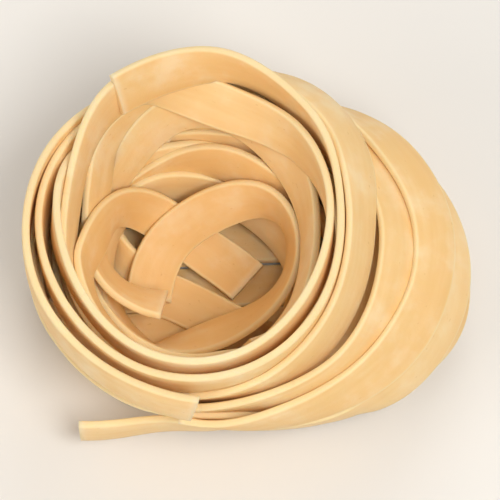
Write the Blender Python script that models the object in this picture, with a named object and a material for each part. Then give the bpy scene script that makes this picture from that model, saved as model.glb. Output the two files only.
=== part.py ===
"""Dry pasta nest: long flat egg-yellow ribbons coiled into a ring round a funnel-shaped hollow.

The nest is one solid out to its uneven outline. Its skin is a stack of closed lines round the
hollow's axis: under the foot, up the outside, over the rim and down the funnel to the floor.
Each ribbon that shows is a band between two of these lines, standing proud of its neighbour.
The ribbons that leave the ring are joined on: loose ends, and those that cross the hollow.
"""
import math

import bmesh
import bpy
import numpy as np

MM = 0.001

# ---- ribbons
RIBBON_WIDTH = 6.2
RIBBON_THICKNESS = 1.0

# ---- the nest's outline, measured from the hollow's axis
RIM_HEIGHT = 30.0
REACH_RIGHT = 35.9
REACH_LEFT = 21.8
REACH_BACK = 23.2
REACH_FRONT = 25.4
RIGHT_LEAN = 8.0  # how much less the ring reaches to the right at the rim than low down
FRONT_TAPER = 5.8  # how much less it reaches to the front at the foot than at the rim
SHOULDER_SLOPE = 0.58  # fall of the top with distance beyond the rim
SHOULDER_START = 20.5
FOOT_ROUNDING = 3.0  # how far the foot is drawn in

# ---- the funnel
FUNNEL_HALF_WIDTH = 12.4
FUNNEL_HALF_DEPTH = 12.0
RIM_OPENS_WIDTH = 3.6  # how much wider each half is at the rim
RIM_OPENS_DEPTH = 8.4
FUNNEL_SHIFT_BACK = 0.8
FUNNEL_LOW = 8.0
FUNNEL_RISE = 20.0
FLOOR_HEIGHT = 1.6
FLOOR_RADIUS = 9.0

# ---- the bands that show
OUTSIDE_BANDS = 5
INSIDE_BANDS = 4
TOP_EDGES = 5
TOP_GAP_DEPTH = 2.4
BAND_WAVE = 0.9
UNDER_GROOVES = ((0.30, 0.36), (0.56, 0.63), (0.80, 0.86))  # from the middle to the foot's edge
UNDER_GROOVE_DEPTH = 0.7

# ---- cut ends in the bands: band, direction of the cut, which way it runs on, sweep, lift
OUTSIDE_ENDS = (
    (4, 270.0, -1, 75.0, 1.3),
    (2, 25.0, 1, 55.0, 1.4),
    (3, 150.0, -1, 60.0, 1.2),
    (1, 110.0, -1, 50.0, 1.2),
)
INSIDE_ENDS = ((1, 60.0, 1, 60.0, 1.2),)
TOP_ENDS = ((0, 275.0, 1, 60.0, -1.8), (2, 8.0, 1, 50.0, -1.4))

# ---- ribbons that leave the ring, as direction, distance, height and lean from upright
RIM_END = (
    (120.0, 21.8, 28.3, 20.0),
    (106.0, 22.0, 28.0, 20.0),
    (90.0, 22.2, 27.6, 14.0),
    (74.0, 22.3, 27.0, 8.0),
    (58.0, 21.8, 26.2, 4.0),
    (42.0, 20.8, 25.0, 0.0),
)
FOOT_END = (
    (234.0, 24.2, 8.0, 4.0),
    (248.0, 22.4, 8.0, 6.0),
    (264.0, 21.2, 8.2, 8.0),
    (282.0, 20.8, 8.8, 6.0),
)
FUNNEL_END = (
    (228.0, 6.6, 10.0, 66.0),
    (212.0, 8.6, 10.6, 60.0),
    (196.0, 11.2, 11.8, 40.0),
    (178.0, 13.2, 14.0, 20.0),
    (158.0, 15.8, 17.4, 10.0),
)
SWAG = (
    (28.0, 16.4, 17.6, 10.0),
    (46.0, 16.4, 16.8, 16.0),
    (62.0, 14.2, 13.2, 34.0),
    (76.0, 11.4, 9.4, 50.0),
    (92.0, 9.6, 7.2, 58.0),
    (106.0, 10.8, 8.4, 50.0),
    (119.0, 13.2, 11.6, 34.0),
    (132.0, 15.4, 14.8, 20.0),
    (150.0, 16.6, 16.6, 10.0),
)
FLOOR_FRONT = (
    (214.0, 14.0, 7.0, 20.0),
    (240.0, 10.4, 7.6, 50.0),
    (275.0, 8.6, 8.0, 62.0),
    (310.0, 8.8, 8.8, 62.0),
    (338.0, 10.6, 9.2, 56.0),
    (4.0, 13.6, 9.8, 36.0),
)
FLOOR_LEFT = (
    (148.0, 14.2, 3.7, -56.0),
    (170.0, 8.2, 3.1, -80.0),
    (228.0, 3.6, 3.0, -90.0),
    (300.0, 7.4, 3.1, -80.0),
    (322.0, 14.2, 3.7, -56.0),
)
FLOOR_BACK = (
    (354.0, 14.4, 4.8, -52.0),
    (16.0, 9.0, 4.4, -78.0),
    (84.0, 4.6, 4.2, -88.0),
    (146.0, 8.4, 4.9, -74.0),
    (168.0, 13.8, 5.6, -44.0),
)
FLOOR_STEPS = 3
RIBBON_STEP = 2.6

STEPS_ROUND = 72
TURN = np.arange(STEPS_ROUND) * 2.0 * math.pi / STEPS_ROUND


def ease(t):
    """Rises smoothly from 0 to 1 as t goes from 0 to 1."""
    t = np.clip(t, 0.0, 1.0)
    return t * t * (3.0 - 2.0 * t)


def wave(seed, size):
    """A gentle uneven wave round the nest, of three whole turns with their own phases."""
    total = np.zeros(STEPS_ROUND)
    for turns in (1, 2, 3):
        phase = 2.399 * seed + 1.7 * turns * (seed + 1)
        total += np.sin(turns * TURN + phase) / turns
    return size * total / 1.5


def ellipse_radius(half_x, half_y, centre_x, centre_y):
    """Distance from the axis to an off-centre ellipse, in each direction round the nest."""
    along_x = np.cos(TURN)
    along_y = np.sin(TURN)
    square = (along_x / half_x) ** 2 + (along_y / half_y) ** 2
    cross = -2.0 * (along_x * centre_x / half_x**2 + along_y * centre_y / half_y**2)
    rest = (centre_x / half_x) ** 2 + (centre_y / half_y) ** 2 - 1.0
    return (-cross + np.sqrt(cross * cross - 4.0 * square * rest)) / (2.0 * square)


def funnel_radius(height):
    """The hollow's inner wall at a height, wider and longer at the rim."""
    opening = ease((height - FUNNEL_LOW) / FUNNEL_RISE)
    below = 0.40 * np.minimum(height - FUNNEL_LOW, 0.0)
    half_x = FUNNEL_HALF_WIDTH + RIM_OPENS_WIDTH * opening + below
    half_y = FUNNEL_HALF_DEPTH + RIM_OPENS_DEPTH * opening + below
    return ellipse_radius(half_x, half_y, 0.0, FUNNEL_SHIFT_BACK)


def outside_radius(height):
    """The outer wall at a height: it leans out to the right and tapers to the foot in front."""
    rise = ease((height - 6.0) / 24.0)
    foot = np.clip((8.0 - height) / 8.0, 0.0, 1.0) ** 2
    right = REACH_RIGHT - RIGHT_LEAN * rise - FOOT_ROUNDING * foot
    left = REACH_LEFT - 0.9 * (1.0 - ease(height / 16.0)) - 0.7 * FOOT_ROUNDING * foot
    back = REACH_BACK - 1.2 * (1.0 - ease(height / 20.0)) - 0.5 * FOOT_ROUNDING * foot
    front_rise = ease((height - 2.0) / 22.0)
    front = REACH_FRONT - FRONT_TAPER * (1.0 - front_rise) - 0.3 * FOOT_ROUNDING * foot
    return ellipse_radius(
        (right + left) / 2.0, (back + front) / 2.0, (right - left) / 2.0, (back - front) / 2.0
    )


def top_height(radius):
    """The rim's height at a distance from the axis, falling away over the shoulder."""
    return RIM_HEIGHT - SHOULDER_SLOPE * np.maximum(0.0, radius - SHOULDER_START)


def cut_end(ends, band):
    """How far a band stands out of its place where one of its ribbons ends."""
    lift = np.zeros(STEPS_ROUND)
    for which, cut, sense, sweep, reach in ends:
        if which == band:
            beyond = (sense * (np.degrees(TURN) - cut)) % 360.0
            lift += reach * np.clip(1.0 - beyond / sweep, 0.0, 1.0)
    return lift


def underside_lines():
    """The flat foot, from near the middle outwards, with grooves where ribbons part."""
    edge = outside_radius(np.zeros(STEPS_ROUND)) - 0.8
    lines = []
    for start, stop in UNDER_GROOVES:
        lines.append((edge * start, np.zeros(STEPS_ROUND)))
        middle = edge * (start + stop) / 2.0
        lines.append((middle, np.full(STEPS_ROUND, UNDER_GROOVE_DEPTH)))
        lines.append((edge * stop, np.zeros(STEPS_ROUND)))
    lines.append((edge, np.zeros(STEPS_ROUND)))
    return lines


def outside_lines():
    """Ribbons one above the other up the outside, each one's lower edge proud of the one below."""
    crown = top_height(outside_radius(RIM_HEIGHT - 4.0))
    step = (crown - 1.2) / OUTSIDE_BANDS
    lines = []
    for band in range(OUTSIDE_BANDS):
        low_wave = wave(band, BAND_WAVE) if band else 0.5 * wave(band, BAND_WAVE) + 0.4
        high_wave = wave(band + 1, BAND_WAVE) if band < OUTSIDE_BANDS - 1 else 0.0
        low = 0.8 + band * step + low_wave
        high = 0.8 + (band + 1) * step + high_wave
        proud = 0.5 * RIBBON_THICKNESS * (1.0 + np.sin(TURN * (1 + band % 2) + 1.9 * band))
        lift = cut_end(OUTSIDE_ENDS, band)
        lines.append((outside_radius(low) + proud - 0.3 + lift, low))
        lines.append((outside_radius(high) - 0.4 + 0.8 * lift, high - 0.5))
    return lines


def top_lines():
    """The upper edges of the ribbons that stand side by side in the rim, with gaps between."""
    outer = outside_radius(RIM_HEIGHT - 3.0) - 0.3
    inner = funnel_radius(RIM_HEIGHT - 2.0) + 0.3
    spacing = (outer - inner) / (TOP_EDGES - 0.5)
    half = np.minimum(0.27 * spacing, 0.5 * RIBBON_THICKNESS)
    depth = np.minimum(TOP_GAP_DEPTH, 0.9 * spacing)
    lines = []
    for edge in range(TOP_EDGES):
        drift = 0.12 * spacing * np.sin(TURN * (1 + edge % 2) + 2.1 * edge)
        if edge in (0, TOP_EDGES - 1):
            drift = 0.0
        middle = outer - half - edge * spacing * (TOP_EDGES - 0.5) / (TOP_EDGES - 1) + drift
        if edge == TOP_EDGES - 1:
            middle = inner + half
        crest = top_height(middle) + wave(edge + 7, 0.45) + cut_end(TOP_ENDS, edge)
        gap = crest - depth
        if edge:
            lines.append((middle + 1.6 * half, gap))
        lines.append((middle + half, crest))
        lines.append((middle - half, crest))
        if edge < TOP_EDGES - 1:
            lines.append((middle - 1.6 * half, gap))
    return lines


def inside_lines():
    """Ribbons one below the other down the funnel, each one's lower edge reaching further in."""
    start = RIM_HEIGHT - 4.0
    step = (start - FLOOR_HEIGHT - 3.6) / INSIDE_BANDS
    lines = []
    for band in range(INSIDE_BANDS):
        high = start - band * step + (wave(band + 12, 0.7) if band else 0.0)
        low = start - (band + 1) * step + wave(band + 13, 0.7)
        proud = 0.45 * RIBBON_THICKNESS * (1.0 + np.sin(TURN * (1 + band % 2) + 2.6 * band))
        lines.append((funnel_radius(high) + 0.5, high))
        lift = cut_end(INSIDE_ENDS, band)
        lines.append((funnel_radius(low) - proud - lift, low + 0.7))
    return lines


def floor_lines():
    """The bottom of the hollow, under the ribbons that cross it, in to its middle."""
    lines = []
    for step in range(FLOOR_STEPS):
        radius = FLOOR_RADIUS * (1.0 - step / FLOOR_STEPS) * np.ones(STEPS_ROUND)
        height = FLOOR_HEIGHT * np.ones(STEPS_ROUND)
        lines.append((radius, height))
    return lines


def along_curve(rows):
    """Points at even steps on a smooth curve through rows of places and leans."""
    rows = np.array(rows)
    angle = np.radians(rows[:, 0])
    place = [rows[:, 1] * np.cos(angle), rows[:, 1] * np.sin(angle), rows[:, 2], rows[:, 3]]
    rows = np.stack(place, axis=-1)
    rows = np.concatenate([2.0 * rows[:1] - rows[1:2], rows, 2.0 * rows[-1:] - rows[-2:-1]])
    length = np.linalg.norm(np.diff(rows[1:-1, :3], axis=0), axis=1).sum()
    t = np.linspace(0.0, len(rows) - 3 - 1e-6, int(length / RIBBON_STEP) + 2)
    at = t.astype(int)
    t = (t - at)[:, None]
    before, here, after, beyond = (rows[at + k] for k in range(4))
    slope = (after - before) * t
    bend = (2.0 * before - 5.0 * here + 4.0 * after - beyond) * t**2
    twist = (3.0 * here - 3.0 * after + beyond - before) * t**3
    return here + 0.5 * (slope + bend + twist)


def ribbon_mesh(rows):
    """A flat ribbon with square cut ends along a curve, turned about it by the lean."""
    curve = along_curve(rows)
    centre = curve[:, :3]
    lean = np.radians(curve[:, 3:])
    tangent = np.gradient(centre, axis=0)
    tangent /= np.linalg.norm(tangent, axis=1, keepdims=True)
    up = np.array([0.0, 0.0, 1.0]) - tangent * tangent[:, 2:]
    up /= np.linalg.norm(up, axis=1, keepdims=True)
    outward = np.cross(tangent, up)
    outward *= np.sign((outward * centre).sum(axis=1).mean())
    width = up * np.cos(lean) + outward * np.sin(lean)
    across = np.cross(tangent, width)
    half_width = 0.5 * RIBBON_WIDTH * width
    half_thickness = 0.5 * RIBBON_THICKNESS * across
    corners = [
        centre + half_width + half_thickness,
        centre - half_width + half_thickness,
        centre - half_width - half_thickness,
        centre + half_width - half_thickness,
    ]
    points = np.stack(corners, axis=1).reshape(-1, 3)
    faces = [(0, 1, 2, 3), tuple(len(points) - 1 - k for k in range(4))]
    for step in range(len(centre) - 1):
        for side in range(4):
            low = 4 * step + side
            beside = 4 * step + (side + 1) % 4
            faces.append((low, low + 4, beside + 4, beside))
    return points, faces


def nest_mesh():
    """Joins the lines round the nest into one closed skin, with a point at each end."""
    lines = underside_lines() + outside_lines() + top_lines() + inside_lines() + floor_lines()
    radius = np.array([np.broadcast_to(line[0], STEPS_ROUND) for line in lines])
    height = np.array([np.broadcast_to(line[1], STEPS_ROUND) for line in lines])
    points = np.stack([radius * np.cos(TURN), radius * np.sin(TURN), height], axis=-1)
    points = points.reshape(-1, 3)
    ends = np.array([[0.0, 0.0, 0.0], [0.0, 0.0, height[-1].mean()]])
    points = np.concatenate([points, ends])

    faces = []
    first_end = len(points) - 2
    last_end = len(points) - 1
    last_line = (len(lines) - 1) * STEPS_ROUND
    for step in range(STEPS_ROUND):
        after = (step + 1) % STEPS_ROUND
        faces.append((first_end, after, step))
        for line in range(len(lines) - 1):
            low = line * STEPS_ROUND
            high = low + STEPS_ROUND
            faces.append((low + step, low + after, high + after, high + step))
        faces.append((last_line + step, last_line + after, last_end))
    return points, faces


def pasta_material():
    """Pale golden dried egg-yellow pasta, matt."""
    material = bpy.data.materials.new("dry pasta")
    material.use_nodes = True
    shader = material.node_tree.nodes["Principled BSDF"]
    shader.inputs["Base Color"].default_value = (0.86, 0.60, 0.26, 1.0)
    shader.inputs["Roughness"].default_value = 0.55
    return material


def solid(name, points, faces):
    """A closed mesh object in metres, with its faces turned outwards."""
    mesh = bpy.data.meshes.new(name)
    mesh.from_pydata((points * MM).tolist(), [], faces)
    mesh.update()
    shape = bmesh.new()
    shape.from_mesh(mesh)
    bmesh.ops.recalc_face_normals(shape, faces=shape.faces)
    shape.to_mesh(mesh)
    shape.free()
    made = bpy.data.objects.new(name, mesh)
    bpy.context.scene.collection.objects.link(made)
    return made


def join_on(body, piece):
    """Unites a piece with the body and removes the piece."""
    union = body.modifiers.new("join", "BOOLEAN")
    union.operation = "UNION"
    union.solver = "EXACT"
    union.object = piece
    bpy.context.view_layer.update()
    evaluated = body.evaluated_get(bpy.context.evaluated_depsgraph_get())
    joined = bpy.data.meshes.new_from_object(evaluated)
    body.modifiers.clear()
    body.data = joined
    bpy.data.objects.remove(piece, do_unlink=True)


def centre_on_origin(body):
    """Moves the mesh so that the middle of its outline stands over the origin."""
    mesh = body.data
    places = np.empty(len(mesh.vertices) * 3)
    mesh.vertices.foreach_get("co", places)
    places = places.reshape(-1, 3)
    middle = (places.max(axis=0) + places.min(axis=0)) / 2.0
    places[:, :2] -= middle[:2]
    mesh.vertices.foreach_set("co", places.ravel())
    mesh.update()


def build():
    for existing in list(bpy.data.objects):
        bpy.data.objects.remove(existing, do_unlink=True)
    nest = solid("pasta_nest", *nest_mesh())
    loose = (RIM_END, FOOT_END, FUNNEL_END, SWAG, FLOOR_FRONT, FLOOR_LEFT, FLOOR_BACK)
    for rows in loose:
        join_on(nest, solid("ribbon", *ribbon_mesh(rows)))
    centre_on_origin(nest)
    nest.data.materials.clear()
    nest.data.materials.append(pasta_material())


build()
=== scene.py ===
"""A dry pasta nest: long flat ribbons of egg-yellow pasta, coiled round a funnel-shaped hollow.

Each ribbon starts as a string along its own route round the ring and widens step by step into a
ribbon, and they push each other aside until all lie side by side.
Lengths in the shaping sections are millimetres, measured from the foot of the hollow's axis.
"""
import math

import bpy
import numpy as np
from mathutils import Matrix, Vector


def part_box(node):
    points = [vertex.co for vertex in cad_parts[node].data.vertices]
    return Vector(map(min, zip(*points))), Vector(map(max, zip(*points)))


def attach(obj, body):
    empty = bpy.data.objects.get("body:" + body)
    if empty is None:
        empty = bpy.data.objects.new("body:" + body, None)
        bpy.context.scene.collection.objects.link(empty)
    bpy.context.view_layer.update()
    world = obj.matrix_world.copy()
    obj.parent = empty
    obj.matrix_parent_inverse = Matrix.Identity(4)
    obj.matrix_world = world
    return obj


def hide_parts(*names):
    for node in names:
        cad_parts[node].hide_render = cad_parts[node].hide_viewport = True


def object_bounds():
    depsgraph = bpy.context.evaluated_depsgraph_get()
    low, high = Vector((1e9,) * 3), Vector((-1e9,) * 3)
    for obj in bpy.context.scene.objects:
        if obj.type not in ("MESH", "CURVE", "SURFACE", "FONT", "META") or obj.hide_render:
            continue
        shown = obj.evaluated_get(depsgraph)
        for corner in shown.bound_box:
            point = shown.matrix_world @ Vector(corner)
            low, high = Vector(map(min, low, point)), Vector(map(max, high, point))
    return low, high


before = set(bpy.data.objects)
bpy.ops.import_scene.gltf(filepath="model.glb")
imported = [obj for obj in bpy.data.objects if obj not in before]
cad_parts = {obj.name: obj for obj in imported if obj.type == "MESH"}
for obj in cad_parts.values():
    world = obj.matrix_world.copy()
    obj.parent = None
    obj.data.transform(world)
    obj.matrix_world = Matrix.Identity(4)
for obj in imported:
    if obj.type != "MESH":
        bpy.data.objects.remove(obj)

cad_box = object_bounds()

# ---------------------------------------------------------------------------------------------
# The nest's outline. A dried nest keeps the shape of the hand or mould that wound it: a ring,
# thin on the left and thick on the right, that leans out to the right and narrows to its foot
# in front. The funnel-shaped hollow opens upwards. Everything is measured from its axis.
MM = 0.001
REACH_LEFT = 22.2
REACH_BACK = 23.7
LEAN_SLACK = 1.1  # leaning ribbons reach this much less far than a wall they touch

RIM_HEIGHT = 30.0
RIM_ROOM = 1.0  # how far over the rim a ribbon's edge may ride
SHOULDER_START = 20.5  # distance from the axis where the top begins to fall away
SHOULDER_SLOPE = 0.55

FUNNEL_HALF_WIDTH, FUNNEL_HALF_DEPTH = 12.4, 12.0
RIM_OPENS_WIDTH, RIM_OPENS_DEPTH = 3.6, 8.4  # how much wider each half is at the rim
FUNNEL_SHIFT_BACK = 0.8
FUNNEL_LOW, FUNNEL_RISE = 8.0, 20.0
CLOSES_BELOW = 0.40  # narrowing of each half for each millimetre below the funnel
RIGHT_LEAN = 8.0  # how much less the ring reaches to the right at the rim than low down
FRONT_TAPER = 5.8  # how much less it reaches to the front at the foot than at the rim
LEFT_DRAW, BACK_DRAW = 0.9, 1.3  # how much the left and the back are drawn in low down
FOOT_HEIGHT = 8.0  # the foot is rounded off below this
FOOT_RIGHT, FOOT_LEFT, FOOT_BACK, FOOT_FRONT = 3.5, 2.0, 1.6, 1.0  # how far it is drawn in

nest_low, nest_high = (np.array(corner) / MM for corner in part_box("pasta_nest"))
axis_x = nest_low[0] + REACH_LEFT
axis_y = nest_high[1] - REACH_BACK
reach_right = nest_high[0] - axis_x + LEAN_SLACK
reach_front = axis_y - nest_low[1]


def ease(t):
    """Rises smoothly from 0 to 1 as t goes from 0 to 1: three t squared less two t cubed."""
    t = np.clip(t, 0.0, 1.0)
    return t * t * (3.0 - 2.0 * t)


def ellipse_reach(turn, half_x, half_y, middle_x, middle_y):
    """Distance from the axis to an off-centre ellipse in the direction turn.

    The ray and the ellipse meet where a quadratic in the distance is zero; this is its larger
    root.
    """
    along_x, along_y = np.cos(turn), np.sin(turn)
    square = (along_x / half_x) ** 2 + (along_y / half_y) ** 2
    cross = -2.0 * (along_x * middle_x / half_x**2 + along_y * middle_y / half_y**2)
    rest = (middle_x / half_x) ** 2 + (middle_y / half_y) ** 2 - 1.0
    return (-cross + np.sqrt(cross * cross - 4.0 * square * rest)) / (2.0 * square)


def ring_walls(turn, height):
    """The hollow's wall and the outer wall at a height, as two distances from the axis.

    Both are off-centre ellipses. The hollow's opens upwards; the outer one's four reaches
    change with height, each on its own smooth rise, and are drawn in towards the foot.
    """
    opening = ease((height - FUNNEL_LOW) / FUNNEL_RISE)
    closing = CLOSES_BELOW * np.minimum(height - FUNNEL_LOW, 0.0)
    inner = ellipse_reach(
        turn,
        FUNNEL_HALF_WIDTH + RIM_OPENS_WIDTH * opening + closing,
        FUNNEL_HALF_DEPTH + RIM_OPENS_DEPTH * opening + closing,
        0.0,
        FUNNEL_SHIFT_BACK,
    )
    foot = np.clip((FOOT_HEIGHT - height) / FOOT_HEIGHT, 0.0, 1.0) ** 2
    right = reach_right - RIGHT_LEAN * ease((height - 6.0) / 24.0) - FOOT_RIGHT * foot
    left = REACH_LEFT - LEFT_DRAW + 1.0 * ease(height / 16.0) - FOOT_LEFT * foot
    back = REACH_BACK - BACK_DRAW + 1.2 * ease(height / 20.0) - FOOT_BACK * foot
    front = reach_front - FRONT_TAPER * (1.0 - ease((height - 2.0) / 22.0)) - FOOT_FRONT * foot
    half_x, half_y = (right + left) / 2.0, (back + front) / 2.0
    outer = ellipse_reach(turn, half_x, half_y, (right - left) / 2.0, (back - front) / 2.0)
    return inner, outer


def top_height(x, y):
    """The rim's height over a place, falling away beyond the shoulder."""
    beyond = np.maximum(0.0, np.hypot(x, y) - SHOULDER_START)
    return RIM_HEIGHT + RIM_ROOM - SHOULDER_SLOPE * beyond


# ---------------------------------------------------------------------------------------------
# The ribbons' routes. The nest is wound from fourteen ribbons, most about 25 cm long, and a few
# short broken ones lie under its hollow. A route is given only where its ribbon shows
# or leaves the ring; from there it runs on round the ring, drifting evenly to its far end.
RIBBON_WIDTH = 6.2
RIBBON_THICKNESS = 1.0
STEP = 2.5  # spacing of the places along a ribbon
COIL_STEP = 35.0  # degrees between the places of a route that runs on round the ring
SWAY = 0.05  # how far such a route sways to each side, and up and down, on its way
OUTWARD_LEAN = 42.0  # on the thick side ribbons lie like shingles, top edges tipped inwards
BACK_LEAN = 10.0
FUNNEL_LEAN = 14.0  # beside the hollow they line it like a funnel, top edges tipped outwards

# Each row is a direction in degrees, the place across the ring from 0 at the hollow to 1 outside,
# the place up it from 0 to 1, the lean from upright, and how firmly the ribbon is held there.
# Then come the direction, across and up that the route runs on to, and the ribbon's length.
ROUTES = {
    "rim end": (
        ((121, 0.10, 1.03, -32, 0.40), (107, 0.10, 1.03, -28, 0.40), (90, 0.16, 1.01, -16, 0.25),
         (70, 0.55, 1.00, -6, 0.15), (40, 0.42, 0.99, 0, 0.03), (5, 0.09, 0.98, 8, 0),
         (-35, 0.18, 0.98, 4, 0), (-75, 0.38, 0.98, 0, 0), (-110, 0.48, 0.98, 0, 0),
         (-150, 0.45, 0.97, 0, 0), (-185, 0.50, 0.88, -5, 0), (-215, 0.64, 0.70, -6, 0),
         (-245, 0.74, 0.56, -4, 0)),
        (-520, 0.50, 0.40), 265),
    "inner rim": (
        ((104, 0.45, 0.50, -8, 0), (124, 0.30, 0.58, -10, 0.08), (148, 0.10, 0.84, -6, 0.06),
         (176, 0.03, 0.99, 0, 0.02), (230, 0.03, 1.00, 0, 0), (285, 0.02, 1.00, 0, 0),
         (320, 0.00, 1.00, 4, 0), (355, 0.00, 0.96, 5, 0), (390, 0.00, 0.86, 0, 0),
         (420, 0.05, 0.72, -14, 0.03), (450, 0.10, 0.66, -20, 0.03), (480, 0.12, 0.64, -16, 0)),
        (760, 0.30, 0.50), 235),
    "front end": (
        ((270, 0.93, 1.00, 8, 0.25), (252, 0.94, 1.00, 6, 0.12), (235, 0.95, 0.99, 4, 0),
         (200, 0.95, 0.98, 0, 0), (165, 0.92, 0.98, 0, 0), (135, 0.90, 0.74, 0, 0),
         (100, 0.85, 0.64, 0, 0), (60, 0.75, 0.86, 14, 0), (25, 0.74, 1.00, 40, 0.06),
         (-10, 0.76, 1.00, 48, 0.06), (-50, 0.84, 0.86, 26, 0.02), (-88, 0.88, 0.60, 6, 0)),
        (-330, 0.85, 0.45), 275),
    "foot end": (
        ((235, 2.10, 0.23, 10, 0.45), (248, 1.55, 0.23, 10, 0.40), (263, 1.08, 0.24, 8, 0.15),
         (284, 0.98, 0.28, 8, 0), (305, 0.97, 0.36, 14, 0), (332, 0.97, 0.50, 24, 0.03),
         (360, 0.99, 0.58, 28, 0.04), (395, 0.96, 0.56, 22, 0), (430, 0.92, 0.40, 0, 0)),
        (700, 0.92, 0.14), 240),
    "funnel end": (
        ((228, -0.50, 0.28, -46, 0.45), (212, -0.35, 0.30, -42, 0.40), (196, -0.17, 0.35, -28, 0.30),
         (178, -0.08, 0.42, -12, 0.15), (158, 0.00, 0.46, -6, 0.06), (130, 0.30, 0.46, -8, 0),
         (90, 0.42, 0.42, -8, 0), (50, 0.35, 0.40, -4, 0)),
        (-420, 0.25, 0.24), 255),
    "swag": (
        ((192, -0.50, 0.05, -60, 0.30), (160, -0.48, 0.06, -56, 0.35), (134, -0.44, 0.09, -50, 0.35),
         (108, -0.42, 0.15, -46, 0.35), (86, -0.38, 0.20, -44, 0.35), (66, -0.26, 0.28, -36, 0.35),
         (48, -0.09, 0.36, -24, 0.30), (28, -0.04, 0.37, -14, 0.25), (2, -0.07, 0.32, -18, 0.25),
         (-24, -0.17, 0.26, -30, 0.30), (-52, -0.31, 0.20, -42, 0.35), (-80, -0.30, 0.17, -42, 0.35),
         (-104, -0.13, 0.14, -28, 0.25), (-125, 0.04, 0.12, -8, 0.10), (-150, 0.25, 0.11, 0, 0),
         (-190, 0.40, 0.11, 0, 0)),
        (-620, 0.60, 0.20), 250),
    "lining": (
        ((-100, 0.12, 0.34, -8, 0), (-60, 0.05, 0.46, -10, 0), (-20, 0.00, 0.56, -8, 0),
         (10, 0.00, 0.60, -6, 0), (40, 0.02, 0.56, -8, 0), (75, 0.08, 0.47, -10, 0),
         (110, 0.16, 0.38, -8, 0)),
        (500, 0.50, 0.16), 250),
    "left floor": (
        ((100, 0.70, 0.14, 0, 0), (135, 0.50, 0.08, 0, 0), (155, 0.20, 0.04, 40, 0.05),
         (172, -0.30, -0.02, 80, 0.30), (205, -0.80, -0.03, 88, 0.30), (285, -0.74, -0.03, 88, 0.30),
         (312, -0.25, 0.00, 80, 0.30), (326, 0.15, 0.05, 45, 0.05), (345, 0.35, 0.08, 10, 0)),
        (630, 0.60, 0.30), 250),
    "left arm": (
        ((8, -0.42, 0.01, -66, 0.40), (40, -0.56, 0.02, -66, 0.40), (72, -0.58, 0.03, -64, 0.35),
         (100, -0.46, 0.06, -58, 0.35), (118, -0.32, 0.16, -42, 0.35), (134, -0.13, 0.33, -24, 0.30),
         (150, -0.02, 0.45, -10, 0.15), (172, 0.04, 0.50, -4, 0.05), (205, 0.12, 0.48, 0, 0),
         (250, 0.20, 0.40, 0, 0)),
        (830, 0.60, 0.14), 250),
    "outer coil": (
        ((-80, 0.80, 0.42, 8, 0), (-48, 0.80, 0.52, 24, 0), (-15, 0.82, 0.60, 38, 0),
         (20, 0.84, 0.61, 36, 0), (55, 0.80, 0.58, 16, 0)),
        (540, 0.90, 0.30), 265),
    "middle coil": (((200, 0.55, 0.20, 0, 0), (165, 0.60, 0.24, 0, 0)), (-420, 0.60, 0.46), 262),
    "low coil": (((-60, 0.10, 0.07, 0, 0), (-25, 0.06, 0.07, 0, 0), (10, 0.05, 0.07, 0, 0)),
                 (190, 0.10, 0.08), 74),
    "upper shoulder": (
        ((-112, 0.62, 0.56, 0, 0), (-84, 0.60, 0.76, 6, 0), (-50, 0.45, 0.95, 16, 0.03),
         (-15, 0.38, 0.99, 28, 0.06), (15, 0.40, 1.00, 34, 0.10), (40, 0.60, 0.98, 44, 0.20),
         (62, 0.76, 0.90, 38, 0.12), (85, 0.84, 0.74, 10, 0)),
        (130, 0.84, 0.50), 100),
    "lower shoulder": (
        ((-92, 0.88, 0.60, 4, 0), (-62, 0.95, 0.78, 18, 0), (-30, 0.98, 0.92, 40, 0.05),
         (0, 1.00, 0.97, 45, 0.06), (30, 0.98, 0.92, 38, 0.05), (60, 0.95, 0.70, 10, 0)),
        (112, 0.85, 0.50), 125),
}
BROKEN_PIECES = 5  # side by side under the hollow, as a round raft
BROKEN_GAP = 0.15
BROKEN_SKEW = 0.05  # how far they turn from straight across, as a slope
RAFT_RADIUS, RAFT_BACK = 17.5, 1.0

LOWEST_PLACE = 3.2  # height of the middle of a ribbon that stands on the table
PLACE_ROOM = 6.8  # the part of the height at the rim that no middle can use
PLACE_SPAN = 23.5  # about what is left, as the first guess
WALL_ROOM = 0.8  # distance from a wall to the middle of a ribbon that lies against it


def place_in_ring(turn, across, up):
    """A place given by direction, share of the way across the ring and share of the way up."""
    height = LOWEST_PLACE + up * PLACE_SPAN
    for _ in range(2):
        inner, outer = ring_walls(turn, height)
        in_hollow = (inner + WALL_ROOM) * (1.0 + across)
        in_ring = inner + WALL_ROOM + across * (outer - inner - 2.0 * WALL_ROOM)
        distance = np.where(across < 0.0, in_hollow, in_ring)
        x, y = distance * np.cos(turn), distance * np.sin(turn)
        height = LOWEST_PLACE + up * (top_height(x, y) - PLACE_ROOM)
    return np.stack([x, y, height], axis=-1)


def resting_lean(degrees, across):
    """The lean of a ribbon in the ring: shingled on the thick right side, tipped back behind."""
    rightward = np.maximum(0.0, np.cos(np.radians(degrees)))
    backward = np.maximum(0.0, np.sin(np.radians(degrees)))
    beside_hollow = 1.0 - ease(across / 0.35)
    shingled = OUTWARD_LEAN * rightward * ease(1.2 * across)
    return shingled - BACK_LEAN * backward - FUNNEL_LEAN * beside_hollow


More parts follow.
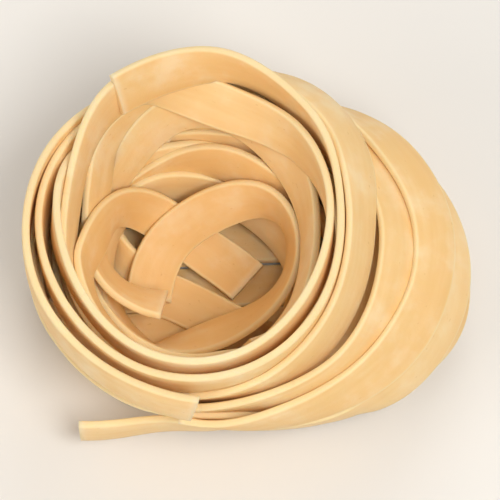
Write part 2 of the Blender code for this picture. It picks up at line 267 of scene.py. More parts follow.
def run_on(rows, far_end, wander):
    """Continues a route from its last row round the ring to its far end, and a little past it."""
    start, end = np.array(rows[-1][:3], float), np.array(far_end, float)
    count = int(abs(end[0] - start[0]) / COIL_STEP)
    share = np.arange(1, count + 5)[:, None] / max(count, 1)
    drift = start + (end - start) * share
    sideways = SWAY * np.sin(5.0 * share[:, 0] + wander)
    upwards = SWAY * np.sin(7.0 * share[:, 0] + 2.0 * wander)
    drift[:, 1] = np.clip(drift[:, 1] + sideways, 0.02, 0.97)
    drift[:, 2] = np.clip(drift[:, 2] + upwards, 0.02, 0.98)
    lean = resting_lean(drift[:, 0], drift[:, 1])
    return np.concatenate([np.array(rows, float), np.column_stack([drift, lean, 0.0 * lean])])


def smooth_curve(rows, t):
    """A curve through evenly counted rows: at each t, the Catmull-Rom mix of its four nearest."""
    here = np.minimum(t.astype(int), len(rows) - 2)
    f = (t - here).reshape((-1,) + (1,) * (rows.ndim - 1))
    a, b, c, d = (rows[np.clip(here + k, 0, len(rows) - 1)] for k in (-1, 0, 1, 2))
    bend = (2.0 * a - 5.0 * b + 4.0 * c - d) * f + (3.0 * b - 3.0 * c + d - a) * f * f
    return b + 0.5 * f * (c - a + bend)


def even_path(rows, length):
    """Places at even steps along a route: x, y, height, share across, lean and hold."""
    curve = smooth_curve(rows, np.linspace(0.0, len(rows) - 1.0, 200 * len(rows)))
    place = place_in_ring(np.radians(curve[:, 0]), curve[:, 1], curve[:, 2])
    gone = np.r_[0.0, np.cumsum(np.linalg.norm(np.diff(place, axis=0), axis=1))]
    marks = np.arange(int(min(length, gone[-1]) / STEP) + 1) * STEP
    kept = np.column_stack([place, curve[:, 1], curve[:, 3], curve[:, 4]])
    return np.stack([np.interp(marks, gone, column) for column in kept.T], axis=-1)


def broken_piece(number):
    """A short straight piece, flat on the table, as long as the round raft is wide there.

    It has the columns of even_path: x, y, height, share across, lean and hold.
    """
    sideways = (number - 0.5 * (BROKEN_PIECES - 1)) * (RIBBON_WIDTH + BROKEN_GAP)
    half = math.sqrt(RAFT_RADIUS**2 - (abs(sideways) + 0.5 * RIBBON_WIDTH) ** 2)
    along = np.arange(-half, half, STEP)
    flat = np.ones(len(along))
    back = RAFT_BACK + sideways + BROKEN_SKEW * along
    return np.column_stack([along, back, 0.7 * flat, -0.3 * flat, 90.0 * flat, 0.50 * flat])


paths = [
    even_path(run_on(rows, far_end, 1.3 * number), length)
    for number, (rows, far_end, length) in enumerate(ROUTES.values())
]
paths += [broken_piece(number) for number in range(BROKEN_PIECES)]

# ---------------------------------------------------------------------------------------------
# The core: a smooth upright wall of the same dough, buried in the thick side of the ring. The
# ribbons are wound round it, so that nothing shows through between them.
CORE_SWEEP = 68.0  # degrees to each side of straight right
CORE_ACROSS, CORE_UP, CORE_LEAN = 0.46, 0.26, 16.0
CORE_HEIGHT, CORE_THICKNESS, CORE_CORNER = 9.0, 2.4, 0.9
CORE_PLACES = 9

core_rows = np.ones((CORE_PLACES, 5))  # the last column, how firmly it is held, stays 1
core_rows[:, 0] = np.linspace(-CORE_SWEEP, CORE_SWEEP, CORE_PLACES)
core_rows[:, 1:4] = CORE_ACROSS, CORE_UP, CORE_LEAN
core_path = even_path(core_rows, math.inf)

# ---------------------------------------------------------------------------------------------
# Winding. Every ribbon is a ladder: two edges joined by rungs at even steps. Balls as thick as
# a ribbon stand on it in rows; where two ladders' balls meet, both ladders are pushed apart.
TOUCH = 1.2  # a ribbon's thickness and the slack between two
BALLS_ACROSS = 6
ALWAYS_PAIRED = 0.6  # balls that miss each other by less than this are sure to be watched
NEVER_PAIRED = 1.0  # those that miss by more than this are not
PAIRING_ROUNDS = 6  # rounds until the watched pairs are found anew
OWN_STEPS = 6  # places this near each other on one ribbon never push apart
DEEP = 0.55  # balls nearer than this share of their proper distance overlap deeply
ROUNDS, STRING_ROUNDS, WIDENING_ROUNDS, RELAXING_ROUNDS = 620, 80, 340, 100
NARROWEST = 0.8
LAY = 0.04  # how readily a ribbon turns to the lean it should rest at
STIFFNESS = 0.05
DIAGONAL_PULL, UNFOLD_PULL = 0.6, 0.5  # for steps and rungs it is 1
LEAST_SPAN = 1.96  # steps that two steps together span at least, so that nothing folds
OVERDONE = 1.3
LET_GO = 0.75  # the share of its hold that a held ribbon loses while it comes to rest
WALL_PUSH, TOP_PUSH = 0.45, 0.4  # the share put right each round, of what is beyond a bound
LOWEST = 0.68  # edges stay this high, half a thickness and a little waver over the table
WALL_PROBE = 2.0  # a wall's slope is taken between this far below a place and this far above
WALL_FOLLOWED = 0.8  # the share of that slope that a ribbon takes on


def unit(vectors):
    return vectors / np.maximum(np.linalg.norm(vectors, axis=-1, keepdims=True), 1e-9)


def width_direction(centres, across, lean, starts):
    """The direction from a ribbon's lower edge to its upper one.

    It is square to the route, follows the slope of the ring's walls there, and is turned by the
    lean. Outwards is kept from flipping where a route crosses the hollow.
    """
    turn = np.arctan2(centres[:, 1], centres[:, 0])
    inner_low, outer_low = ring_walls(turn, centres[:, 2] - WALL_PROBE)
    inner_high, outer_high = ring_walls(turn, centres[:, 2] + WALL_PROBE)
    share = np.clip(across, 0.0, 1.0)
    widening = (inner_high - inner_low) * (1.0 - share) + (outer_high - outer_low) * share
    tip = WALL_FOLLOWED * np.arctan2(widening, 2.0 * WALL_PROBE) - np.radians(lean)
    radial = np.stack([np.cos(turn), np.sin(turn), 0.0 * turn], axis=-1)
    tangent = np.zeros_like(centres)
    for start, stop in zip(starts[:-1], starts[1:]):
        tangent[start:stop] = np.gradient(centres[start:stop], axis=0)
    tangent = unit(tangent)
    upward = unit(np.array([0.0, 0.0, 1.0]) - tangent * tangent[:, 2:])
    outward = np.cross(tangent, upward)
    outward *= np.sign((outward * radial).sum(axis=1, keepdims=True) + 1e-9)
    for start, stop in zip(starts[:-1], starts[1:]):
        side = outward[start:stop]
        flips = np.sign((side[1:] * side[:-1]).sum(axis=1))
        outward[start:stop] *= np.r_[1.0, np.cumprod(flips)][:, None]
    return upward * np.cos(tip)[:, None] + outward * np.sin(tip)[:, None]


def near_pairs(places, reach):
    """Pairs of balls within reach, found by sorting them into cells one reach wide."""
    cell = np.floor((places - places.min(axis=0)) / reach).astype(np.int64) + 1
    extent = cell.max(axis=0) + 2
    key = (cell[:, 0] * extent[1] + cell[:, 1]) * extent[2] + cell[:, 2]
    order = np.argsort(key, kind="stable")
    key = key[order]
    firsts, seconds = [], []
    for dx, dy, dz in np.ndindex(2, 3, 3):
        offset = (dx * extent[1] + dy - 1) * extent[2] + dz - 1
        if offset < 0:
            continue
        low = np.searchsorted(key, key + offset, "left") if offset else np.arange(len(key)) + 1
        count = np.maximum(np.searchsorted(key, key + offset, "right") - low, 0)
        within = np.arange(count.sum()) - np.repeat(np.cumsum(count) - count, count)
        firsts.append(order[np.repeat(np.arange(len(key)), count)])
        seconds.append(order[within + np.repeat(low, count)])
    return np.concatenate(firsts), np.concatenate(seconds)


class Winding:
    """All the ladders at once: edges[place, 0 or 1] are the lower and the upper edge."""

    def __init__(self, paths, widths, thicknesses):
        counts = np.array([len(path) for path in paths])
        self.starts = np.r_[0, np.cumsum(counts)]
        self.ribbon = np.repeat(np.arange(len(paths)), counts)
        laid = np.concatenate(paths)
        self.centres, self.across, self.hold = laid[:, :3], laid[:, 3], laid[:, 5]
        self.lying = width_direction(self.centres, self.across, laid[:, 4], self.starts)
        self.full_width = np.array(widths)[self.ribbon]
        self.fixed = self.hold >= 1.0
        self.held = np.flatnonzero(self.hold > 0.01)
        half = 0.5 * np.where(self.fixed, self.full_width, 1.0)[:, None] * self.lying
        self.edges = np.stack([self.centres - half, self.centres + half], axis=1)
        self.next1, self.next2, self.next4 = (
            np.flatnonzero(self.ribbon[k:] == self.ribbon[:-k]) for k in (1, 2, 4)
        )
        self._place_balls(np.array(thicknesses))

    def _place_balls(self, thicknesses):
        """Rows of balls at each rung and midway to the next, weighted between four corners."""
        steps, ends = len(self.next1), len(self.starts) - 1
        rung = np.concatenate([self.next1, self.next1, self.starts[1:] - 2])
        part = np.repeat([0.0, 0.5, 1.0], [steps, steps, ends])
        rung, part = np.repeat(rung, BALLS_ACROSS), np.repeat(part, BALLS_ACROSS)
        side = np.tile(np.linspace(0.0, 1.0, BALLS_ACROSS), len(rung) // BALLS_ACROSS)
        self.rung, self.part = rung, part
        self.corners = np.stack([2 * rung, 2 * rung + 1, 2 * rung + 2, 2 * rung + 3], axis=1)
        self.shares = np.stack(
            [(1 - part) * (1 - side), (1 - part) * side, part * (1 - side), part * side], axis=1
        )
        self.radius = 0.5 * thicknesses[self.ribbon[rung]]
        self.ball_ribbon = self.ribbon[rung]

    def _move(self, push, weight, least):
        """Adds each edge place's mean push, a little overdone to settle sooner."""
        mean = push * (OVERDONE / np.maximum(weight, least))[:, None]
        self.edges = self.edges + mean.reshape(-1, 2, 3)

    def _find_pairs(self, balls):
        """Keeps the pairs of near balls, but not those of nearly the same place on a ribbon."""
        first, second = near_pairs(balls, 2.0 * self.radius.max() + ALWAYS_PAIRED)
        place = self.rung + self.part
        apart = np.abs(place[first] - place[second])
        other = (self.ball_ribbon[first] != self.ball_ribbon[second]) | (apart > OWN_STEPS)
        first, second = first[other], second[other]
        gap = np.linalg.norm(balls[first] - balls[second], axis=1)
        close = gap < self.radius[first] + self.radius[second] + NEVER_PAIRED
        self.pairs = first[close], second[close]

    def push_apart(self, swell, anew):
        """Moves overlapping balls apart along the line between them.

        Deeply overlapping ones move along the line between their ribbons' middles, so that
        two ribbons that cross back out of each other on the side they came from.
        """
        balls = (self.edges.reshape(-1, 3)[self.corners] * self.shares[:, :, None]).sum(axis=1)
        if anew:
            self._find_pairs(balls)
        first, second = self.pairs
        apart = balls[first] - balls[second]
        gap = np.sqrt((apart * apart).sum(axis=1))
        wanted = swell * (self.radius[first] + self.radius[second])
        meet = gap < wanted
        first, second = first[meet], second[meet]
        apart, gap, wanted = apart[meet], gap[meet], wanted[meet]
        middle = self.edges.mean(axis=1)
        deep = np.flatnonzero(gap < DEEP * wanted)
        line = self._between(middle, first[deep]) - self._between(middle, second[deep])
        clear = np.linalg.norm(line, axis=1) > 0.2
        deep, line = deep[clear], line[clear]
        apart[deep] = unit(line) * gap[deep][:, None]
        push = (0.5 * (wanted - gap) / np.maximum(gap, 1e-6))[:, None] * apart
        total, weight = np.zeros((2 * len(self.edges), 3)), np.zeros(2 * len(self.edges))
        for ball, way in ((first, push), (second, -push)):
            for corner in range(4):
                into, share = self.corners[ball, corner], self.shares[ball, corner]
                weight += np.bincount(into, share, len(weight))
                for k in range(3):
                    total[:, k] += np.bincount(into, way[:, k] * share, len(weight))
        self._move(total, weight, 0.3)

    def _between(self, middle, ball):
        """The place on a ribbon's middle line beside each ball."""
        rung, part = self.rung[ball], self.part[ball][:, None]
        return middle[rung] * (1.0 - part) + middle[rung + 1] * part

    def _tie(self, first, second, length, stiffness, total, weight, only_short=False):
        """Pulls two edge places towards their proper distance."""
        flat = self.edges.reshape(-1, 3)
        apart = flat[second] - flat[first]
        gap = np.linalg.norm(apart, axis=1)
        wrong = gap - length
        if only_short:
            wrong = np.minimum(wrong, 0.0)
        pull = (0.5 * stiffness * wrong / np.maximum(gap, 1e-9))[:, None] * apart
        for k in range(3):
            total[:, k] += np.bincount(first, pull[:, k], len(total))
            total[:, k] -= np.bincount(second, pull[:, k], len(total))
        pulled = (wrong != 0.0).astype(float)
        for end in (first, second):
            weight += np.bincount(end, pulled, len(total))

    def keep_shape(self, width):
        """Keeps rungs and steps at their lengths, stops folds, and evens out sharp bends."""
        total, weight = np.zeros((2 * len(self.edges), 3)), np.zeros(2 * len(self.edges))
        every = np.arange(len(self.edges))
        diagonal = np.hypot(STEP, width[self.next1])
        for edge in (0, 1):
            here, ahead = 2 * self.next1 + edge, 2 * self.next1 + 2
            self._tie(here, ahead + edge, STEP, 1.0, total, weight)
            self._tie(here, ahead + 1 - edge, diagonal, DIAGONAL_PULL, total, weight)
            two_on, span = 2 * self.next2 + edge, LEAST_SPAN * STEP
            self._tie(two_on, two_on + 4, span, UNFOLD_PULL, total, weight, only_short=True)
        self._tie(2 * every, 2 * every + 1, width, 1.0, total, weight)
        self._move(total, weight, 1.0)
        edges, place = self.edges, self.next4
        bend = (
            edges[place] - 4.0 * edges[place + 1] + 6.0 * edges[place + 2]
            - 4.0 * edges[place + 3] + edges[place + 4]
        )
        self.edges[place + 2] -= STIFFNESS * bend

    def keep_places(self, width, relaxed):
        """Turns ribbons to their resting lean and draws held places back to their routes."""
        middle = self.edges.mean(axis=1)
        half = 0.5 * (self.edges[:, 1] - self.edges[:, 0])
        half += LAY * (0.5 * width[:, None] * self.lying - half)
        self.edges = np.stack([middle - half, middle + half], axis=1)
        held = self.held
        half = 0.5 * width[held, None] * self.lying[held]
        goal = np.stack([self.centres[held] - half, self.centres[held] + half], axis=1)
        grip = np.where(self.fixed[held], 1.0, self.hold[held] * (1.0 - LET_GO * relaxed))
        self.edges[held] += (goal - self.edges[held]) * grip[:, None, None]

    def stay_in_walls(self):
        """Keeps edges on the table, under the top, and between the hollow and the outer wall."""
        x, y, z = np.moveaxis(self.edges, -1, 0)
        free = (self.hold < 0.02)[:, None]
        z = np.where(self.fixed[:, None], z, np.maximum(z, LOWEST))
        above = z - (top_height(x, y) - 0.5 * TOUCH)
        z = np.where(free & (above > 0.0), z - TOP_PUSH * above, z)
        distance, turn = np.hypot(x, y), np.arctan2(y, x)
        inner, outer = ring_walls(turn, z)
        inside = inner + 0.5 * TOUCH - distance
        outside = distance - (outer - 0.5 * TOUCH)
        in_ring = free & (self.across >= -0.001)[:, None] & (inside > 0.0)
        within = free & (self.across <= 1.001)[:, None] & (outside > 0.0)
        out_of_hollow = np.where(in_ring, WALL_PUSH * inside, 0.0)
        moved = distance + out_of_hollow - np.where(within, TOP_PUSH * outside, 0.0)
        scale = moved / distance
        self.edges = np.stack([x * scale, y * scale, z], axis=-1)

    def wind(self):
        """Widens strings into ribbons that push each other aside, then lets them rest."""
        for round_number in range(ROUNDS):
            widening = min(max((round_number - STRING_ROUNDS) / WIDENING_ROUNDS, 0.0), 1.0)
            rest_round = round_number - STRING_ROUNDS - WIDENING_ROUNDS
            relaxed = min(max(rest_round / RELAXING_ROUNDS, 0.0), 1.0)
            swell = min(1.0, 0.3 + 0.7 * round_number / STRING_ROUNDS)
            width = np.maximum(NARROWEST, self.full_width * (0.08 + 0.92 * widening))
            width = np.where(self.fixed, self.full_width, width)
            for turn in range(2 if widening > 0.3 else 1):
                self.push_apart(swell, anew=round_number % PAIRING_ROUNDS == 0 and turn == 0)
            for _ in range(3):
                self.keep_shape(width)
            self.keep_places(width, relaxed)
            self.stay_in_walls()
        return self.edges


ribbon_count = len(paths)
winding = Winding(
    paths + [core_path],
    [RIBBON_WIDTH - RIBBON_THICKNESS] * ribbon_count + [CORE_HEIGHT - CORE_THICKNESS],
    [TOUCH] * ribbon_count + [CORE_THICKNESS + TOUCH - RIBBON_THICKNESS],
)
wound = winding.wind()

# ---------------------------------------------------------------------------------------------
# The pasta. Dough of durum wheat and egg, rolled, cut and dried: matt, pale golden, faintly
# translucent, streaked along its length, floury at its cut ends and flecked with bran. Its long
# edges are lightened with a painted highlight.


class Finish:
    """One material and its nodes."""

    def __init__(self, name):
        self.material = bpy.data.materials.new(name)
        self.material.use_nodes = True
        self.tree = self.material.node_tree
        self.shader = self.tree.nodes["Principled BSDF"]

    def node(self, kind, settings=None, sockets=None, out=0):
        """Adds a node: its settings first, then values or links into its sockets."""
        made = self.tree.nodes.new(kind)
        for name, value in (settings or {}).items():
            if name == "stops":
                ramp = made.color_ramp.elements
                while len(ramp) < len(value):
                    ramp.new(0.5)
                for stop, (place, colour) in zip(ramp, value):
                    stop.position, stop.color = place, colour
            else:
                setattr(made, name, value)
        for name, value in (sockets or {}).items():
            self.feed(made.inputs[name], value)
        return Wire(self, made.outputs[out])

    def feed(self, socket, value):
        if isinstance(value, Wire):
            self.tree.links.new(value.socket, socket)
        else:
            socket.default_value = value

    def mix(self, factor, first, second):
        """The colour that goes from the first to the second as the factor goes from 0 to 1."""
        return self.node(
            "ShaderNodeMix", {"data_type": "RGBA"}, {0: factor, 6: first, 7: second}, out=2
        )

    def noise(self, place, scale, detail=2.0, roughness=0.5):
        return self.node(
            "ShaderNodeTexNoise",
            {"noise_dimensions": "3D"},
            {"Vector": place, "Scale": scale, "Detail": detail, "Roughness": roughness},
        )

    def between(self, value, low, high):
        """0 below low, 1 above high, and a smooth rise between."""
        return self.node(
            "ShaderNodeMapRange",
            {"interpolation_type": "SMOOTHSTEP"},
            {"Value": value, "From Min": low, "From Max": high},
        )


class Wire:
    """A node's output; arithmetic on it adds the Math node that does the sum."""

    def __init__(self, finish, socket):
        self.finish, self.socket = finish, socket

    def _sum(self, operation, first, second):
        return self.finish.node("ShaderNodeMath", {"operation": operation}, {0: first, 1: second})

    def __add__(self, other):
        return self._sum("ADD", self, other)

    def __radd__(self, other):
        return self._sum("ADD", other, self)

    def __sub__(self, other):
        return self._sum("SUBTRACT", self, other)

    def __rsub__(self, other):
        return self._sum("SUBTRACT", other, self)

    def __mul__(self, other):
        return self._sum("MULTIPLY", self, other)

    def __rmul__(self, other):
        return self._sum("MULTIPLY", other, self)


def colour(red, green, blue):
    """A screen colour of 0 to 255 as the linear colour that a shader takes."""
    share = np.array([red, green, blue]) / 255.0
    linear = np.where(share <= 0.04045, share / 12.92, ((share + 0.055) / 1.055) ** 2.4)
    return (*linear.tolist(), 1.0)


FACE_COLOUR = colour(247, 212, 155)
DEEP_COLOUR = colour(240, 197, 132)
# The edge colour is a painted highlight for the ribbons' long edges, not a colour of the dough.
EDGE_HIGHLIGHT_COLOUR = colour(252, 230, 182)
FLOUR_COLOUR = colour(252, 234, 200)
BRAN_COLOUR = colour(204, 150, 80)
HALF_FACE = 2.6  # millimetres from a ribbon's middle to where its cut edge begins to round
BUMP_DEPTH = 0.00012
SCATTER_DEPTH = 0.0012


def pasta_finish(name, half_face):
    """Golden dough read from the ribbon's own lay: millimetres along, across, and its tone."""
    pasta = Finish(name)
    lay = pasta.node("ShaderNodeAttribute", {"attribute_name": "lay"}, out=1)
    split = pasta.node("ShaderNodeSeparateXYZ", None, {"Vector": lay})
    along, across, tone = (Wire(pasta, split.socket.node.outputs[k]) for k in range(3))
    from_end = pasta.node("ShaderNodeAttribute", {"attribute_name": "from_end"}, out=2)
    place = pasta.node("ShaderNodeTexCoord", None, None, out=3)

    drawn_out = {"X": along * 0.12, "Y": across * 0.9, "Z": tone * 40.0}
    rolled = {"X": along * 0.8, "Y": across * 1.6, "Z": tone * 40.0}
    streaks = pasta.noise(pasta.node("ShaderNodeCombineXYZ", None, drawn_out), 1.0, detail=2.0)
    speckle_place = pasta.node("ShaderNodeCombineXYZ", None, rolled)
    grain = pasta.noise(place, 2600.0, detail=3.0, roughness=0.7)
    dimples = pasta.noise(place, 700.0, detail=2.0)
    mottle = pasta.noise(place, 130.0, detail=2.0)
    speckle = pasta.noise(speckle_place, 1.5, detail=1.0)

    off_middle = pasta.node("ShaderNodeMath", {"operation": "ABSOLUTE"}, {0: across})
    # The band along the long edges that takes the painted highlight and a rougher finish.
    edge = pasta.between(off_middle, half_face, half_face + 0.45)
    cut = 1.0 - pasta.between(from_end, 0.0, 1.2)
    bran = pasta.between(speckle, 0.73, 0.79)
    floury = pasta.between(mottle + 0.35 * dimples, 0.62, 0.98)

    drying = streaks * 0.35 + mottle * 0.45 + tone * 0.25
    body = pasta.mix(pasta.between(drying, 0.30, 0.76), DEEP_COLOUR, FACE_COLOUR)
    body = pasta.mix(0.40 * floury, body, FLOUR_COLOUR)
    body = pasta.mix(0.28 * bran, body, BRAN_COLOUR)
    # Painted highlight: the long edges are lightened as if their rounded corners caught the light.
    body = pasta.mix(0.60 * edge, body, EDGE_HIGHLIGHT_COLOUR)
    body = pasta.mix(0.45 * cut, body, FLOUR_COLOUR)

    skin = grain * 0.35 + dimples * 0.8 + streaks * 0.4
    relief = pasta.node(
        "ShaderNodeBump", None, {"Strength": 0.40, "Distance": BUMP_DEPTH, "Height": skin}
    )
    shader = pasta.shader.inputs
    pasta.feed(shader["Base Color"], body)
    pasta.feed(shader["Roughness"], 0.52 + 0.14 * dimples + 0.10 * edge)
    pasta.feed(shader["Normal"], relief)
    shader["Specular IOR Level"].default_value = 0.34
    shader["Subsurface Weight"].default_value = 0.30
    shader["Subsurface Radius"].default_value = (1.0, 0.66, 0.34)
    shader["Subsurface Scale"].default_value = SCATTER_DEPTH
    return pasta.material


pasta_material = pasta_finish("dried egg pasta", HALF_FACE)

# ---------------------------------------------------------------------------------------------
# The ribbons themselves: a flat section with small round corners, carried along each wound
# ladder and cut off square. Drying bows each one a little across and makes its edges waver.
FINE_STEPS = 3  # finished steps for each step of the winding
CORNER = 0.28
CORNER_POINTS = 3
FACE_POINTS = 2  # further points along each flat face
BOW, LONG_BOW = 0.16, 0.10
BOW_LENGTH, LONG_BOW_LENGTH = 6.1, 17.0  # millimetres for each radian of the bows' waves
WAVER = 0.07
WAVER_LENGTHS = (2.3, 3.7)
END_REACH = 5.0  # how far from an end its slant dies out
END_SLANT = 7.0  # degrees, at most, that a cut end is off square


def section(width, thickness, corner):
    """A rounded rectangle as points (across, through), anticlockwise, with extra face points."""
    quarter = np.linspace(0.0, 0.5 * math.pi, CORNER_POINTS)
    points = []
    for number, (side, face) in enumerate(((1, 1), (-1, 1), (-1, -1), (1, -1))):
        turn = quarter + number * 0.5 * math.pi
        across = side * (0.5 * width - corner) + corner * np.cos(turn)
        through = face * (0.5 * thickness - corner) + corner * np.sin(turn)
        points.append(np.column_stack([across, through]))
        if number in (0, 2):
            inset = 0.5 * width - corner
            share = np.arange(1, FACE_POINTS + 1) / (FACE_POINTS + 1)
            flat = face * inset * (1.0 - 2.0 * share)
            points.append(np.column_stack([flat, np.full(FACE_POINTS, face * 0.5 * thickness)]))
    return np.concatenate(points)


def loft(edges, outline, number, tone):
    """Carries the section along a ladder: points, faces, lay, distance from an end, and length
    along.

    The width runs from the lower edge to the upper, the thickness square to it and the path.
    """
    steps = (len(edges) - 1) * FINE_STEPS + 1
    ladder = smooth_curve(edges, np.linspace(0.0, len(edges) - 1.0, steps))
    centre = ladder.mean(axis=1)
    along = np.r_[0.0, np.cumsum(np.linalg.norm(np.diff(centre, axis=0), axis=1))]
    tangent = unit(np.gradient(centre, axis=0))
    width = ladder[:, 1] - ladder[:, 0]
    width = unit(width - (width * tangent).sum(axis=1, keepdims=True) * tangent)
    normal = np.cross(tangent, width)
    to_end = along[-1] - along
    from_end = np.minimum(along, to_end)

    phase = 2.4 * number
    bow = BOW * np.sin(along / BOW_LENGTH + phase) * ease(from_end / 6.0)
    bow += LONG_BOW * np.sin(along / LONG_BOW_LENGTH + phase)
    short, long = WAVER_LENGTHS
    waver = WAVER * (np.sin(along / short + phase) + np.sin(along / long + 2.0 * phase))
    across, through = outline[:, 0], outline[:, 1]
    wide = across * (1.0 + waver[:, None] / RIBBON_WIDTH)
    level = through + bow[:, None] * (1.0 - (2.0 * across / RIBBON_WIDTH) ** 2)
    slant = math.tan(math.radians(END_SLANT)) * np.sin(5.1 * number + np.array([0.0, 2.0]))
    shear = slant[0] * (1.0 - ease(along / END_REACH))
    shear += slant[1] * (1.0 - ease(to_end / END_REACH))
    points = (
        centre[:, None]
        + wide[..., None] * width[:, None]
        + level[..., None] * normal[:, None]
        + (shear[:, None] * across)[..., None] * tangent[:, None]
    )
    size = len(outline)
    lay = np.empty((steps, size, 3))
    lay[..., 0], lay[..., 1], lay[..., 2] = along[:, None], across, tone

    ring = np.arange(size)
    low = np.arange(steps - 1)[:, None] * size
    after = (ring + 1) % size
    quads = np.stack([low + ring, low + after, low + size + after, low + size + ring], axis=-1)
    ends = np.broadcast_to(from_end[:, None], (steps, size))
    return points, quads.reshape(-1, 4), lay, ends, along


def lengths_between(points):
    """The distance from each point to the next."""
    return np.linalg.norm(np.diff(points, axis=0), axis=1)


def fill(layer, key, values):
    """Puts values into a mesh layer, one after another."""
    layer.data.foreach_set(key, np.concatenate(values).astype(np.float32).ravel())


MAP_START, MAP_SHARE = 0.04, 0.92  # of a row of the map, or of its length, that a ribbon takes
CAP_GAP = 0.012  # room on the map between a ribbon and its cut ends


def ribbon_mesh(name, ladders, outline):
    """All the ribbons as one mesh, each a row of its own in the UV map OFBake.

    On the map a ribbon is a strip: its length runs along the row and its girth across it. Its
    two cut ends lie beyond the strip's ends, at the same scale.
    """
    size = len(outline)
    ring = np.arange(size)
    girth = np.r_[0.0, np.cumsum(lengths_between(np.append(outline, outline[:1], axis=0)))]
    longest = max(lengths_between(ladder.mean(axis=1)).sum() for ladder in ladders)
    row = 1.0 / len(ladders)
    points, faces, face_sizes, lays, ends, maps = [], [], [], [], [], []
    base = 0
    for number, ladder in enumerate(ladders):
        tone = (0.5 + 0.618 * (number + 1)) % 1.0
        grid, quads, lay, from_end, along = loft(ladder, outline, number, tone)
        u = MAP_START + MAP_SHARE * along / longest
        v = row * (number + MAP_START + MAP_SHARE * girth / girth[-1])
        corner_u = np.stack([u[:-1], u[:-1], u[1:], u[1:]], axis=-1)
        corner_v = np.stack([v[:-1], v[1:], v[1:], v[:-1]], axis=-1)
        corner_u, corner_v = np.broadcast_arrays(corner_u[:, None], corner_v[None])
        points.append(grid.reshape(-1, 3))
        lays.append(lay.reshape(-1, 3))
        ends.append(from_end.reshape(-1))
        faces.append((quads + base).reshape(-1))
        face_sizes.append(np.full(len(quads), 4))
        maps.append(np.stack([corner_u, corner_v], axis=-1).reshape(-1, 2))
        last = (len(along) - 1) * size
        for cap, beyond in ((ring[::-1], u[0] - CAP_GAP), (ring + last, u[-1] + CAP_GAP)):
            cap_across, cap_through = outline[cap % size].T
            cap_u = beyond + MAP_SHARE * cap_through / longest
            cap_v = row * (number + 0.5 + MAP_SHARE * cap_across / girth[-1])
            faces.append(cap + base)
            face_sizes.append(np.array([size]))
            maps.append(np.column_stack([cap_u, cap_v]))
        base += last + size
    corners, counts = np.concatenate(faces), np.concatenate(face_sizes)
    mesh = bpy.data.meshes.new(name)
    mesh.vertices.add(base)
    mesh.loops.add(len(corners))
    mesh.polygons.add(len(counts))
    mesh.vertices.foreach_set("co", (np.concatenate(points) * MM).astype(np.float32).ravel())
    mesh.loops.foreach_set("vertex_index", corners.astype(np.int32))
    starts = np.r_[0, np.cumsum(counts)[:-1]]
    mesh.polygons.foreach_set("loop_start", starts.astype(np.int32))
    mesh.polygons.foreach_set("loop_total", counts.astype(np.int32))
    mesh.polygons.foreach_set("use_smooth", counts == 4)
    mesh.update(calc_edges=True)
    fill(mesh.attributes.new("lay", "FLOAT_VECTOR", "POINT"), "vector", lays)
    fill(mesh.attributes.new("from_end", "FLOAT", "POINT"), "value", ends)
    fill(mesh.uv_layers.new(name="OFBake"), "uv", maps)
    mesh.validate()
    return mesh


def shown(name, mesh, material):
    """An object at the origin with the mesh's own places, showing one material."""
    mesh.materials.append(material)
    piece = bpy.data.objects.new(name, mesh)
    bpy.context.scene.collection.objects.link(piece)
    return piece


ladders = [wound[winding.ribbon == number] for number in range(ribbon_count)]
outline = section(RIBBON_WIDTH, RIBBON_THICKNESS, CORNER)
axis = np.array([axis_x, axis_y, 0.0])
ribbons_mesh = ribbon_mesh("pasta_ribbons", [ladder + axis for ladder in ladders], outline)
ribbons = shown("pasta_ribbons", ribbons_mesh, pasta_material)
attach(ribbons, "root")
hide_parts("pasta_nest")

core_ladder = wound[winding.ribbon == ribbon_count]
core_outline = section(CORE_HEIGHT, CORE_THICKNESS, CORE_CORNER)
core_mesh = ribbon_mesh("nest_core", [core_ladder + axis], core_outline)
core = shown("nest_core", core_mesh, pasta_finish("dried dough core", 0.5 * CORE_HEIGHT))
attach(core, "root")

# ---------------------------------------------------------------------------------------------
# The table, the lights and the camera.
TABLE = 1.5  # half the table's side, in metres as all below
middle = (Vector(cad_box[0]) + Vector(cad_box[1])) / 2.0

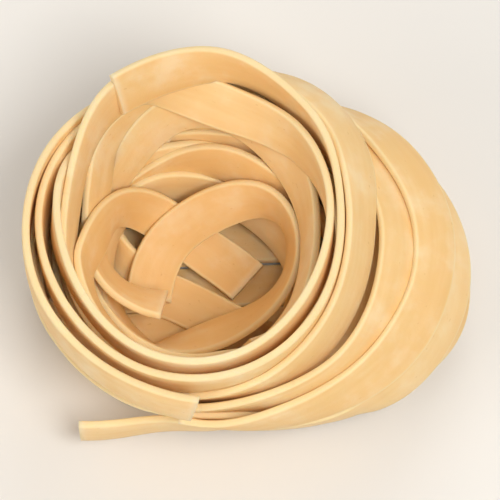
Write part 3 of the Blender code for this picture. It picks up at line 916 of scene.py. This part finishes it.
table_finish = Finish("pale table")
table_finish.shader.inputs["Base Color"].default_value = colour(236, 233, 228)
table_finish.shader.inputs["Roughness"].default_value = 0.7
table_mesh = bpy.data.meshes.new("table")
corners = [(-TABLE, -TABLE, 0), (TABLE, -TABLE, 0), (TABLE, TABLE, 0), (-TABLE, TABLE, 0)]
table_mesh.from_pydata(corners, [], [(0, 1, 2, 3)])
shown("table", table_mesh, table_finish.material)


def soft_light(name, place, size, power, tint):
    """A square soft box aimed at the nest."""
    lamp = bpy.data.lights.new(name, "AREA")
    lamp.size, lamp.energy, lamp.color = size, power, tint
    holder = bpy.data.objects.new(name, lamp)
    holder.location = place
    holder.rotation_euler = (middle - Vector(place)).to_track_quat("-Z", "Y").to_euler()
    bpy.context.scene.collection.objects.link(holder)


soft_light("key", (0.14, -0.22, 0.50), 0.22, 1.85, (1.0, 0.98, 0.95))
soft_light("fill", (-0.42, -0.24, 0.30), 0.34, 0.7, (1.0, 0.98, 0.96))
soft_light("back", (0.10, 0.45, 0.30), 0.30, 0.7, (1.0, 0.99, 0.97))

world = bpy.data.worlds.new("room")
bpy.context.scene.world = world
world.use_nodes = True
world.node_tree.nodes["Background"].inputs["Color"].default_value = (1.0, 0.985, 0.965, 1.0)
world.node_tree.nodes["Background"].inputs["Strength"].default_value = 0.38

ELEVATION = math.radians(68.0)
LENS, SENSOR = 300.0, 36.0
MARGIN = 1.12
AIM_BACK = 0.002  # the high rim would otherwise stand above the picture's middle
lens = bpy.data.cameras.new("camera")
lens.lens, lens.sensor_width = LENS, SENSOR
camera = bpy.data.objects.new("camera", lens)
back = Vector((0.0, -math.cos(ELEVATION), math.sin(ELEVATION)))
width = cad_box[1][0] - cad_box[0][0]
aim = middle + Vector((0.0, AIM_BACK, 0.0))
camera.location = aim + back * (width * MARGIN * LENS / SENSOR)
camera.rotation_euler = (-back).to_track_quat("-Z", "Y").to_euler()
lens.clip_start, lens.clip_end = 0.01, 10.0
bpy.context.scene.collection.objects.link(camera)
bpy.context.scene.camera = camera
bpy.context.scene.view_settings.view_transform = "Standard"
